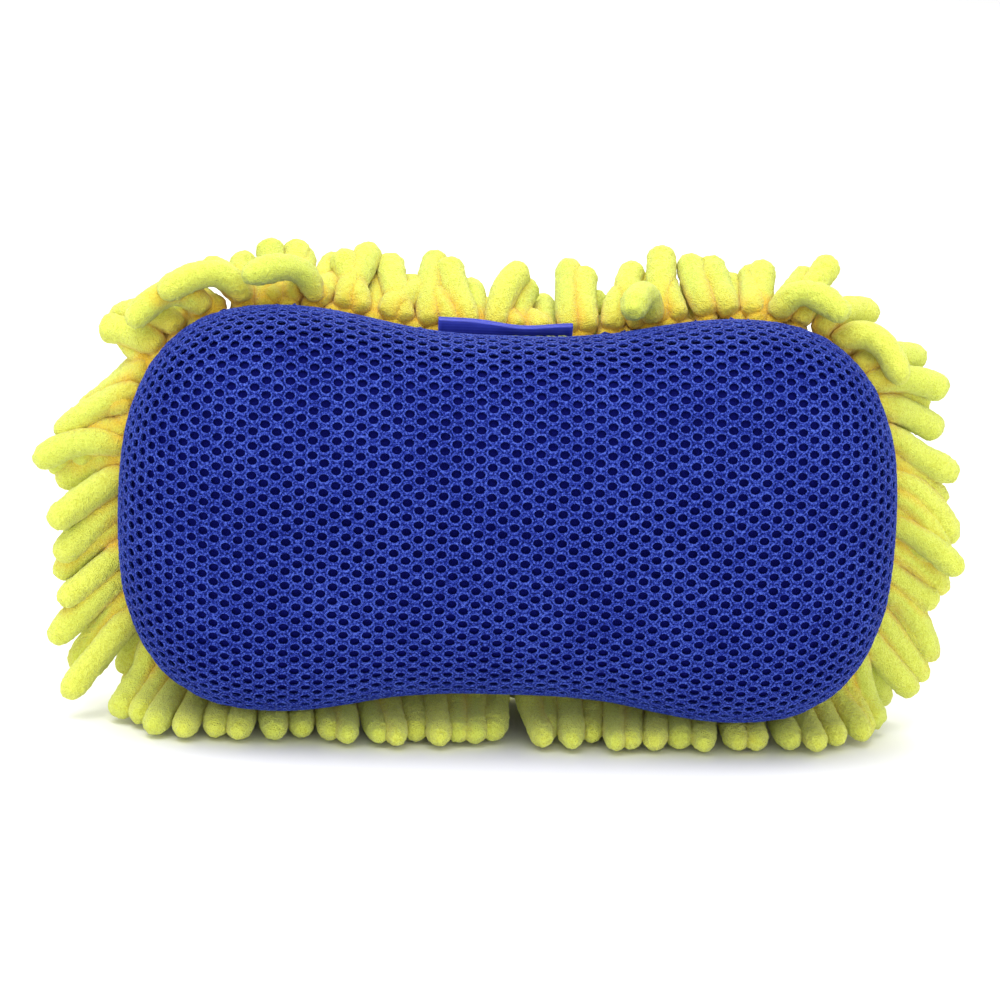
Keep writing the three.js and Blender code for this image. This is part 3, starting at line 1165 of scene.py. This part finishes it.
@dataclass
class Pile:
    """All the chenille fingers, row by row."""

    form: Form
    diameter: float = 7.6 * MM
    length: float = 27.5 * MM
    under_length: float = 1.28
    side_trim: float = 0.13
    loose: tuple = (0.6, 0.9, 0.3)
    bow: float = 2.4 * MM
    edge_depth: float = 3.6 * MM
    panel_depth: float = 3.9 * MM
    sides: int = 8
    seed: int = 11
    pressed: float = 0.96
    sag: float = 0.5
    floor_gap: float = 0.5 * MM
    fluff: tuple = (1.3 * MM, 0.7 * MM)
    strays: tuple = (
        (0.905, -9, 6), (0.872, -10, 4), (0.852, -9, 3), (0.07, -3, 8), (0.128, 8, 5), (0.16, 9, 4)
    )
    rows: dict = field(default_factory=dict)

    def __post_init__(self) -> None:
        """Starts the seeded draw."""
        self.draw = np.random.default_rng(self.seed)

    def build_finger(self) -> tuple[np.ndarray, list]:
        """Models one straight finger by extruding and scaling a ring: 1 long, 1 in radius.

        Returns:
            Its points and faces.
        """
        swell = 1.07
        trunk = [(0.86, 0.07), (1.0, 0.22), (1.0, 0.37), (1.0, 0.52), (1.01, 0.66), (1.02, 0.78)]
        profile = trunk + [(0.98, 0.87), (0.84, 0.935), (0.52, 0.982)]
        clear_selection()
        bpy.ops.mesh.primitive_circle_add(vertices=self.sides, radius=0.6 * swell, fill_type="NGON")
        made = bpy.context.object
        radius, height = 0.6, 0.0
        with Editing(made):
            for wide, up in profile:
                move = {"value": (0, 0, up - height)}
                bpy.ops.mesh.extrude_region_move(TRANSFORM_OT_translate=move)
                grow = (wide / radius, wide / radius, 1.0)
                bpy.ops.transform.resize(value=grow, center_override=(0, 0, up))
                radius, height = wide, up
            bpy.ops.mesh.extrude_region_move(TRANSFORM_OT_translate={"value": (0, 0, 1.0 - height)})
            bpy.ops.mesh.merge(type="CENTER")
            bpy.ops.mesh.select_all(action="SELECT")
            bpy.ops.mesh.normals_make_consistent(inside=False)
        points = points_of(made)
        faces = [list(p.vertices) for p in made.data.polygons]
        bpy.data.objects.remove(made)
        return points, faces

    def grow(
        self, root: np.ndarray, aim: np.ndarray, length: float, sag: float, fold: int
    ) -> np.ndarray:
        """Grows a finger's curve, laid along the floor where it would pass through it.

        Args:
            root: Where it leaves the panel.
            aim: Its first direction.
            length: How long it is.
            sag: How far its tip falls, as a share of its length.
            fold: -1 where it lies forwards on the floor and +1 where it lies backwards.

        Returns:
            Four control points.
        """
        aim = aim / np.linalg.norm(aim)
        lowest = self.diameter / 2 * self.pressed
        fall = np.array([0, 0, -sag * length])
        tip = root + aim * length + fall
        if tip[2] >= lowest:
            reach = length / max(1.0, np.linalg.norm(tip - root) / length)
            bend = root + aim * reach * 0.75 + fall * 0.45
            return np.array([root, root + aim * reach * 0.4, bend, tip])
        drop = max(root[2] - lowest, self.floor_gap)
        across = aim[0] * length * 0.5
        along = math.sqrt(max(length**2 - drop**2 - across**2, (0.3 * length) ** 2))
        tip = np.array([root[0] + across, root[1] + fold * along, lowest])
        down = root + [across * 0.25, 0.1 * fold * along, 0]
        down[2] = lowest + 0.25 * drop
        return np.array([root, root + (down - root) * 0.8, down + (tip - down) * 0.35, tip])

    def add(self, row: str, knots: np.ndarray) -> None:
        """Adds one finger to a row, with its own thickness and cast."""
        radius = self.diameter / 2 * self.draw.uniform(0.93, 1.06)
        self.rows.setdefault(row, []).append(Strand(knots, radius, float(self.draw.uniform(0, 1))))

    def course(
        self, inset: float, depth: float, pitch: float, tilt: float, rise: float, spread: float
    ) -> list:
        """Grows fingers all round the outline.

        Args:
            inset: How far inside the outline their roots are.
            depth: How far behind the seam their roots are.
            pitch: Their spacing.
            tilt: Their lean away from the panel's plane, in degrees.
            rise: The further lean of those at the top.
            spread: How widely their directions vary, in degrees.

        Returns:
            Pairs of a share of the outline's length and a finger's curve.
        """
        path = self.form.outline(inset)
        total = np.linalg.norm(np.roll(path, -1, 0) - path, axis=1).sum()
        count = round(total / pitch)
        shares = (np.arange(count) + self.draw.uniform(-0.15, 0.15, count) + 0.5) / count
        made = []
        for share in shares % 1.0:
            at = share * len(path)
            near, after = path[int(at) % len(path)], path[(int(at) + 4) % len(path)]
            along = (after - near) / np.linalg.norm(after - near)
            out = np.array([-along[1], along[0]])
            lean = math.radians(tilt + rise * max(0.0, out[1]) + self.draw.normal(0, spread * 0.55))
            under = max(0.0, -out[1])
            loose = self.loose[0] + self.loose[1] * max(0.0, out[1]) - self.loose[2] * under
            swing = math.radians(self.draw.normal(0, spread * loose))
            cos, sin = math.cos(swing), math.sin(swing)
            out = np.array([out[0] * cos - out[1] * sin, out[0] * sin + out[1] * cos])
            out[1] -= self.sag * abs(out[0])
            out /= np.linalg.norm(out)
            aim = np.array([out[0] * math.cos(lean), math.sin(lean), out[1] * math.cos(lean)])
            root = np.array([near[0], self.form.seam + depth, near[1] + self.form.middle])
            sag = self.sag * self.draw.uniform(0.2, 0.75) * abs(out[0]) + 0.12 * math.sin(lean)
            fold = -1 if inset < 3 * MM else 1
            length = self.length * self.draw.uniform(0.8, 1.05)
            length *= 1 + (self.under_length - 1) * under
            length *= 1 - self.side_trim * abs(aim[0])
            knots = self.grow(root, aim, length, sag, fold)
            bent = np.cross(aim, [0, 1.0, 0]) * self.draw.normal(0, self.bow)
            knots[1:3] += bent * (knots[3][2] > self.diameter)
            made.append((share, knots))
        return made

    def plant_edges(self) -> None:
        """Plants the fingers that the seam catches, in three layers, and the courses behind."""
        layers = [
            (1 * MM, self.edge_depth, 6.1 * MM, 2, 48, 17),
            (4.0 * MM, self.panel_depth, 5.6 * MM, 17, 42, 17),
            (8.5 * MM, self.panel_depth, 6.8 * MM, 36, 30, 13),
        ]
        for layer in layers:
            for share, knots in self.course(*layer):
                side = next(side for side in Side if side.holds(share))
                self.add(f"edge_row_{side.name.lower()}", knots)
        lobe = 32 * MM
        for inset, pitch, tilt in ((14 * MM, 8.4 * MM, 58), (19.5 * MM, 7.0 * MM, 72)):
            for share, knots in self.course(inset, self.panel_depth, pitch, tilt, 2, 8):
                upper = share < 0.25 or share >= 0.75
                if inset < 16 * MM or lobe < abs(knots[0][0]) < self.form.crest + 12 * MM:
                    self.add("upper_row" if upper else "lower_row", knots)

    def plant_rows(self) -> None:
        """Plants the straight rows across the panel, each finger a little aside from the next."""
        for number in range(1, 7):
            name = f"pile_row_{number:02d}"
            low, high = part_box(name)
            span = (high.x - low.x - self.diameter) / 2
            height = next(joint["pos_m"][2] for joint in frame["joints"] if joint["child"] == name)
            gaps = round(2 * span / (5.1 * MM))
            for k in range(gaps + 1):
                x = -span + 2 * span * k / gaps
                aside = (2.4 if k % 2 else -2.4) * MM
                fan = math.radians(14 * x / span + self.draw.normal(0, 6))
                upwards = 2 + 8 * (height - self.form.middle) / (26 * MM)
                rise = math.radians(upwards + self.draw.normal(0, 6))
                aim = np.array([math.sin(fan), math.cos(fan) * math.cos(rise), math.sin(rise)])
                root = np.array([x, self.form.seam + self.panel_depth, height + aside])
                length = self.length * self.draw.uniform(0.9, 1.03)
                self.add(name, self.grow(root, aim, length, self.draw.uniform(0.05, 0.22), 1))

    def plant_strays(self) -> None:
        """Plants the few fingers that have flopped forwards over the cover's edge."""
        path = self.form.outline(1 * MM)
        for share, aside, forward in self.strays:
            at = int(share * len(path))
            near, after = path[at % len(path)], path[(at + 4) % len(path)]
            along = (after - near) / np.linalg.norm(after - near)
            out = np.array([-along[1], 0, along[0]])
            ahead = np.array([along[0], 0, along[1]]) * aside * MM
            root = np.array([near[0], self.form.seam + self.edge_depth, near[1] + self.form.middle])
            back = np.array([0, -1, 0])
            over = self.diameter / 2 + 1.6 * MM
            knots = [
                root,
                root + out * (over + 6 * MM) + ahead * 0.3,
                root + out * (over + 4.5 * MM) + back * forward * 0.8 * MM + ahead * 1.2,
                root + out * (over - 1 * MM) + back * forward * 1.5 * MM + ahead * 2.2,
            ]
            side = next(side for side in Side if side.holds(share))
            self.add(f"edge_row_{side.name.lower()}", np.array(knots))

    def crowding(self) -> KDTree:
        """A tree of points on every finger's middle line, numbered by finger."""
        strands = [strand for row in self.rows.values() for strand in row]
        shares = np.linspace(0.1, 0.97, 9)
        tree = KDTree(len(strands) * len(shares))
        for number, strand in enumerate(strands):
            for point in strand.centres(shares):
                tree.insert(Vector(point), number)
        tree.balance()
        return tree

    def build_row(
        self, name: str, first: int, tree: KDTree, finger: tuple[np.ndarray, list]
    ) -> bpy.types.Object:
        """Builds one row from copies of the finger, each bent along its own curve.

        Args:
            name: The row's node.
            first: The number of its first finger.
            tree: The points of all the fingers' middle lines.
            finger: The straight finger's points and faces.

        Returns:
            The row.
        """
        shape, faces = finger
        levels, level_of = np.unique(np.round(shape[:, 2], 5), return_inverse=True)
        points, crowd, cast = [], [], []
        for k, strand in enumerate(self.rows[name]):
            centre, along = strand.centres(levels), strand.tangents(levels)
            side = np.zeros_like(along)
            hint = np.array([1.0, 0, 0]) if abs(along[0][0]) < 0.8 else np.array([0, 1.0, 0])
            for level in range(len(levels)):
                hint = hint - along[level] * hint.dot(along[level])
                hint = hint / np.linalg.norm(hint)
                side[level] = hint
            third = np.cross(along, side)
            wide = strand.radius * (1 + self.draw.normal(0, 0.045, len(levels)))
            across = shape[:, 0:1] * side[level_of] + shape[:, 1:2] * third[level_of]
            placed = centre[level_of] + across * wide[level_of][:, None]
            placed[:, 2] = np.maximum(placed[:, 2], self.floor_gap)
            points.append(placed)
            # Painted shade at each point: stronger where another finger lies close and towards the
            # root.
            for point, share in zip(placed, shape[:, 2]):
                near = [hit[2] for hit in tree.find_n(Vector(point), 14) if hit[1] != first + k]
                gap = (near[0] if near else self.diameter) - self.diameter / 2
                close = 1 - min(max(gap / (0.75 * MM), -0.6), 1.0)
                crowd.append(min(1.0, 0.85 * close * (1.1 - share) + max(0.0, 0.3 - share) * 1.6))
            cast += [strand.cast] * len(shape)
        tiled = repeat_faces(faces, len(shape), len(points))
        made = make_mesh(name.replace("row", "fingers"), np.concatenate(points), tiled)
        set_attribute(made, "crowd", np.array(crowd))
        set_attribute(made, "cast", np.array(cast))
        return made

    def dress(self, finish: Finish) -> None:
        """Plants and builds every row, and gives it its finish and fluff.

        Args:
            finish: The chenille finish.
        """
        self.plant_edges()
        self.plant_strays()
        self.plant_rows()
        material, finger, tree = finish.material(), self.build_finger(), self.crowding()
        fluff = bpy.data.textures.new("chenille_fluff", "CLOUDS")
        fluff.noise_scale, relief = self.fluff
        fluff.noise_depth = 1
        settings = {"texture": fluff, "strength": relief, "mid_level": 0.5}
        settings["texture_coords"] = "LOCAL"
        first = 0
        for name in self.rows:
            row = self.build_row(name, first, tree, finger)
            first += len(self.rows[name])
            body = name if name in frame["bodies"] else "pad"
            dress(row, material, body)
            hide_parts(name)
            subdivide(row, 2)
            add_modifier(row, "DISPLACE", settings)


# ---- Panel, thread and label --------------------------------------------------------------------


@dataclass
class Panel:
    """The woven panel that closes the pad's back and carries the fingers."""

    form: Form
    thickness: float = 1.8 * MM
    gap: float = 0.15 * MM
    inset: float = 2.5 * MM
    pucker: float = 0.25 * MM
    around: int = 180

    def build(self) -> bpy.types.Object:
        """Builds the panel as a closed sheet, drawn in a little at each stitch round its edge."""
        rings = []
        low, high = self.form.seam + self.gap, self.form.seam + self.thickness
        steps = (20, 8, 0.6)
        levels = [(drawn, low) for drawn in steps] + [(0, (low + high) / 2)]
        for drawn, y in levels + [(drawn, high) for drawn in reversed(steps)]:
            flat = self.form.outline(self.inset + drawn * MM, self.around)
            wave = self.pucker * np.cos(np.arange(self.around) * math.pi) * math.exp(-drawn / 5)
            rings.append(self.form.stand(flat, y + wave))
        ends = [np.array([0, y, self.form.middle]) for y in (low, high)]
        return loft("backing_panel", rings, ends[0], ends[1])

    def dress(self, finish: Finish) -> None:
        """Builds the panel and gives it its finish.

        Args:
            finish: Its finish.
        """
        made = self.build()
        dress(made, finish.material(), "pad")
        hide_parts("chenille_backing")
        edge = self.form.outline(self.inset)


@dataclass
class Thread:
    """The lockstitch round the seam, with the short line that holds the label."""

    form: Form
    core: Core
    diameter: float = 0.8 * MM
    stitch: float = 2.6 * MM
    pitch: float = 3.1 * MM
    inset: float = 2.0 * MM
    label_line: tuple = (0.5 * MM, 14.5 * MM)
    label_rise: float = 0.6 * MM

    def build_stitch(self) -> tuple[np.ndarray, list]:
        """Models one stitch: a short bar with rounded ends, arched in its middle.

        Returns:
            Its points and faces, along X.
        """
        clear_selection()
        radius, depth = self.diameter / 2, self.stitch * 0.7
        bpy.ops.mesh.primitive_cylinder_add(vertices=6, radius=radius, depth=depth)
        made = bpy.context.object
        with Editing(made):
            for end in (-1, 1):
                select_where(made, lambda points, end=end: points[:, 2] * end > self.stitch * 0.34)
                move = {"value": (0, 0, end * self.stitch * 0.15)}
                bpy.ops.mesh.extrude_region_move(TRANSFORM_OT_translate=move)
                bpy.ops.transform.resize(value=(0.45, 0.45, 1.0), center_override=(0, 0, 0))
            bpy.ops.mesh.select_all(action="SELECT")
            bpy.ops.mesh.normals_make_consistent(inside=False)
        points = points_of(made)[:, [2, 0, 1]]
        faces = [list(p.vertices) for p in made.data.polygons]
        bpy.data.objects.remove(made)
        return points, faces

    def build(self) -> bpy.types.Object:
        """Copies the stitch round the seam and along the label's foot."""
        stitch, faces = self.build_stitch()
        path = self.form.outline(self.inset)
        total = np.linalg.norm(np.roll(path, -1, 0) - path, axis=1).sum()
        count = round(total / self.pitch)
        points = []
        level = self.form.seam - self.form.seam_gap / 2
        for k in range(count):
            at = int(k / count * len(path))
            near, after = path[at], path[(at + 3) % len(path)]
            along = np.array([after[0] - near[0], 0, after[1] - near[1]])
            origin = np.array([near[0], level, near[1] + self.form.middle])
            points.append(self.turn(stitch, along, np.array([0, 1.0, 0]), origin))
        line = np.arange(*self.label_line, self.pitch)
        flat = self.form.profile()[0]
        edge = self.form.half_height(line) - (flat[0] + self.form.allowance + 2.2 * MM)
        spots, outward = self.form.lay(line, edge, np.full(len(line), self.label_rise))
        spots += outward * self.core.offsets(spots, outward)[:, None]
        for spot, normal in zip(spots, outward):
            points.append(self.turn(stitch, np.array([1.0, 0, 0]), normal, spot))
        tiled = repeat_faces(faces, len(stitch), len(points))
        return make_mesh("seam_stitches", np.concatenate(points), tiled)

    def turn(
        self, stitch: np.ndarray, along: np.ndarray, up: np.ndarray, origin: np.ndarray
    ) -> np.ndarray:
        """One stitch turned along a direction.

        Args:
            stitch: The stitch along X.
            along: Its direction.
            up: The surface's outward direction.
            origin: Its middle.

        Returns:
            The turned points.
        """
        x = along / np.linalg.norm(along)
        z = up - x * up.dot(x)
        z = z / np.linalg.norm(z)
        y = np.cross(z, x)
        return origin + stitch @ np.array([x, y, z])

    def dress(self, finish: Finish) -> None:
        """Builds the thread and gives it its finish.

        Args:
            finish: Its finish.
        """
        made = self.build()
        dress(made, finish.material(), "pad")
        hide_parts("seam_thread")
        subdivide(made, 1)


@dataclass
class Label:
    """The blank ribbon, folded double, whose foot the seam holds."""

    form: Form
    width: float = 35 * MM
    height: float = 6.2 * MM
    thickness: float = 2.0 * MM
    ply: float = 0.5 * MM
    lean: float = 25.0
    dip: float = 1.2 * MM
    twist: float = 1.3 * MM
    ripple: float = 0.35 * MM
    foot_depth: float = -0.8 * MM
    foot_inset: float = 2.1 * MM
    columns: int = 30

    def build(self) -> bpy.types.Object:
        """Folds a strip over, gives it its thickness, and lets it dip and twist."""
        half = (self.thickness - self.ply) / 2
        fold = self.height - self.thickness / 2
        clear_selection()
        bpy.ops.mesh.primitive_grid_add(x_subdivisions=self.columns, y_subdivisions=2, size=1.0)
        made = bpy.context.object
        made.name = "ribbon_fold"
        flat = points_of(made)
        up = (flat[:, 1] + 0.5) * fold
        move_points(made, np.stack([flat[:, 0] * self.width, np.full(len(flat), -half), up], 1))
        with Editing(made):
            select_where(made, lambda points: points[:, 2] > fold - 1e-6)
            bpy.ops.mesh.spin(steps=8, angle=-math.pi, center=(0, 0, fold), axis=(1, 0, 0))
            for _ in range(2):
                down = {"value": (0, 0, -fold / 2)}
                bpy.ops.mesh.extrude_region_move(TRANSFORM_OT_translate=down)
            bpy.ops.mesh.select_all(action="SELECT")
            bpy.ops.mesh.remove_doubles(threshold=1e-6)
            bpy.ops.mesh.normals_make_consistent(inside=False)
        add_modifier(made, "SOLIDIFY", {"thickness": self.ply, "offset": 0.0}, apply=True)
        self.place(made)
        return made

    def place(self, made: bpy.types.Object) -> None:
        """Dips and twists the folded ribbon, leans it forwards and stands its foot in the seam.

        Args:
            made: The folded ribbon, its foot at the origin.
        """
        points = points_of(made)
        x, share = points[:, 0] / self.width, points[:, 2] / self.height
        # The cut ends and the fold's top get a painted highlight in the ribbon's finish.
        ends, top_highlight = np.clip(np.abs(x) * 30 - 14.2, 0, 1), np.clip(share * 2 - 1.3, 0, 0.5)
        set_attribute(made, "edge", np.maximum(ends, top_highlight))
        sunk = np.exp(-(((x - 0.09) / 0.26) ** 2)) + 0.3 * np.clip(x, 0, 1)
        points[:, 2] -= self.dip * sunk * share
        bow = self.twist * share * np.sin(2.4 * (x + 0.35))
        points[:, 1] -= bow + self.ripple * np.sin(9 * x) * share
        lean = math.radians(self.lean)
        y, z = points[:, 1].copy(), points[:, 2].copy()
        low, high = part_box("ribbon_label")
        points[:, 0] += (low.x + high.x) / 2
        points[:, 1] = self.form.seam + self.foot_depth + y * math.cos(lean) - z * math.sin(lean)
        foot = self.form.middle + self.form.half_waist - self.foot_inset
        points[:, 2] = foot + y * math.sin(lean) + z * math.cos(lean)
        move_points(made, points)

    def dress(self, finish: Finish) -> None:
        """Builds the label and gives it its finish.

        Args:
            finish: Its finish.
        """
        made = self.build()
        dress(made, finish.material(), "label")
        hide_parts("ribbon_label")
        subdivide(made, 1)
        cut = 2 * (self.height - self.thickness / 2) + math.pi * (self.thickness - self.ply) / 2


# ---- Studio -------------------------------------------------------------------------------------


@dataclass
class Studio:
    """A pale floor, soft light and the camera."""

    azimuth: float = -3.0
    elevation: float = 12.0
    roll: float = 2.3
    distance: float = 0.95
    lens: float = 131.3
    aim: tuple = (-0.0019, 0.0, 0.0629)
    floor_size: float = 6.0
    surround: float = 0.95

    def build_floor(self, finish: Finish) -> None:
        """Lays the floor.

        Args:
            finish: Its finish.
        """
        clear_selection()
        bpy.ops.mesh.primitive_plane_add(size=self.floor_size)
        floor = bpy.context.object
        floor.name = "studio_floor"
        floor.data.materials.append(finish.material())

    def light(self, name: str, place: tuple, size: float, power: float) -> None:
        """Hangs one soft light that faces the pad.

        Args:
            name: The light's name.
            place: Where it hangs.
            size: The side of its square.
            power: Its power in watts.
        """
        lamp = bpy.data.lights.new(name, "AREA")
        lamp.size, lamp.energy = size, power
        hung = bpy.data.objects.new(name, lamp)
        hung.location = place
        hung.rotation_euler = (Vector(self.aim) - Vector(place)).to_track_quat("-Z", "Y").to_euler()
        bpy.context.collection.objects.link(hung)

    def build(self, finish: Finish) -> None:
        """Builds the floor, the lights and the surround.

        Args:
            finish: The floor's finish.
        """
        self.build_floor(finish)
        self.light("top_softbox", (-0.15, -0.4, 1.0), 0.8, 9.0)
        self.light("low_fill", (0.1, -1.2, 0.16), 0.7, 4.0)
        self.light("back_softbox", (0.0, 1.9, 1.5), 2.0, 30.0)
        world = bpy.data.worlds.new("surround")
        bpy.context.scene.world = world
        world.use_nodes = True
        background = world.node_tree.nodes["Background"]
        background.inputs["Color"].default_value = (1.0, 1.0, 1.0, 1.0)
        background.inputs["Strength"].default_value = self.surround
        bpy.context.scene.view_settings.view_transform = "Standard"

    def place_camera(self) -> None:
        """Makes the camera and points it at the pad."""
        camera = bpy.data.cameras.new("studio_camera")
        camera.lens = self.lens
        held = bpy.data.objects.new("studio_camera", camera)
        turn, rise = math.radians(self.azimuth), math.radians(self.elevation)
        level = math.cos(rise)
        back = Vector((math.sin(turn) * level, -math.cos(turn) * level, math.sin(rise)))
        held.location = Vector(self.aim) + back * self.distance
        facing = (-back).to_track_quat("-Z", "Y").to_matrix().to_4x4()
        held.rotation_euler = (facing @ Matrix.Rotation(math.radians(self.roll), 4, "Z")).to_euler()
        bpy.context.collection.objects.link(held)
        bpy.context.scene.camera = held


def main() -> None:
    """Builds every sub-assembly in order, then the studio around them."""
    logging.basicConfig(level=logging.INFO, format="%(name)s %(message)s", stream=sys.stdout)
    studio = Studio()
    studio.place_camera()
    form = Form.from_frame()
    core = Core(form)
    block = core.build()
    dress(block, FoamFinish("open_cell_foam").material(), "pad")
    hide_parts("foam_core")
    knit = KnitFinish("knit_face", specular=0.12)
    Cover(form, core).dress(knit, LiningFinish("dark_lining", specular=0.05))
    Panel(form).dress(PanelFinish("woven_panel", sheen=0.2, specular=0.2))
    Thread(form, core).dress(ThreadFinish("olive_thread", specular=0.4))
    Label(form).dress(RibbonFinish("satin_ribbon", specular=0.5))
    Pile(form).dress(ChenilleFinish("chenille", sheen=0.3, specular=0.1))
    studio.build(FloorFinish("studio_floor"))


if __name__ == "__main__":
    main()
